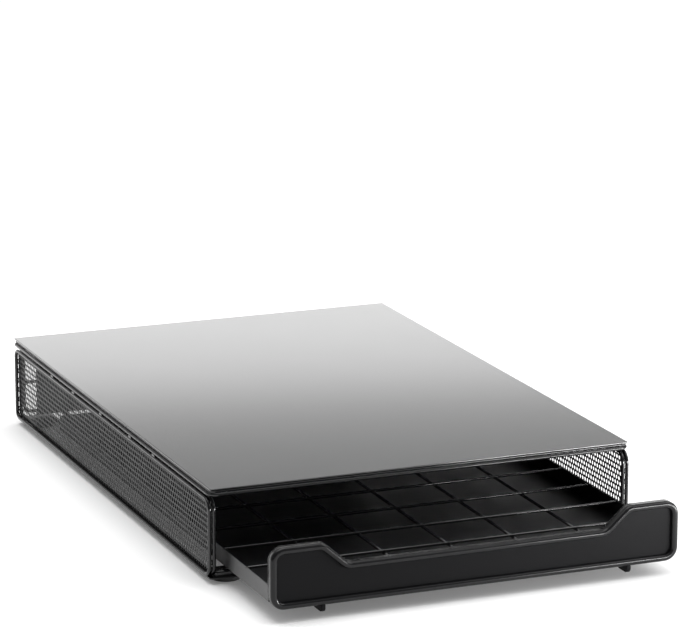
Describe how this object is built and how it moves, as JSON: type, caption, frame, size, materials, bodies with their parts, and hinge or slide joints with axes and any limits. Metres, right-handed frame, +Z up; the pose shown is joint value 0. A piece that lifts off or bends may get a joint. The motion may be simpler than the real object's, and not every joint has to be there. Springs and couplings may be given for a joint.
{
  "type": "coffee pod drawer",
  "caption": "Low black steel case with a flat top plate, perforated sides and rubber feet; a shallow wire-divided pod tray with a scooped front panel slides out of the front.",
  "frame": {"origin": "under the middle of the whole object on the counter, with the drawer at its rest pose, part way out", "axes": "+X to the right seen from the front, +Y to the back, +Z up; the drawer slides out along -Y"},
  "size_m": [0.2774, 0.4778, 0.0595],
  "materials": {
    "plate_black": "satin",
    "front_black": "satin",
    "wire_black": "satin",
    "mesh_black": "satin",
    "rivet_black": "satin",
    "rubber_foot": "matte"
  },
  "bodies": {
    "case": {"back_cross_wire": "wire_black", "back_hoop": "wire_black", "back_left_foot": "rubber_foot", "back_left_foot_gusset": "wire_black", "back_panel": "wire_black", "back_right_foot": "rubber_foot", "back_right_foot_gusset": "wire_black", "foot_rivets": "rivet_black", "front_cross_bar": "wire_black", "front_left_foot": "rubber_foot", "front_left_foot_gusset": "wire_black", "front_right_foot": "rubber_foot", "front_right_foot_gusset": "wire_black", "left_inner_loop": "wire_black", "left_outer_loop": "wire_black", "left_runner_rail": "wire_black", "left_side_mesh": "mesh_black", "left_side_tabs": "wire_black", "plate_support_strip": "wire_black", "right_inner_loop": "wire_black", "right_outer_loop": "wire_black", "right_runner_rail": "wire_black", "right_side_mesh": "mesh_black", "right_side_tabs": "wire_black", "top_frame_wire": "wire_black", "top_plate": "plate_black"},
    "drawer": {"tray_floor": "wire_black", "tray_left_wall": "wire_black", "tray_right_wall": "wire_black", "tray_rear_wall": "wire_black", "row_wires": "wire_black", "column_wires": "wire_black", "drawer_front_panel": "front_black", "drawer_front_rim": "front_black", "left_stop_lug": "front_black", "right_stop_lug": "front_black"}
  },
  "joints": [
    {"name": "drawer_slide", "type": "slide", "parent": "case", "child": "drawer", "axis": [0, -1, 0], "range_m": [-0.0698, 0.22]}
  ]
}
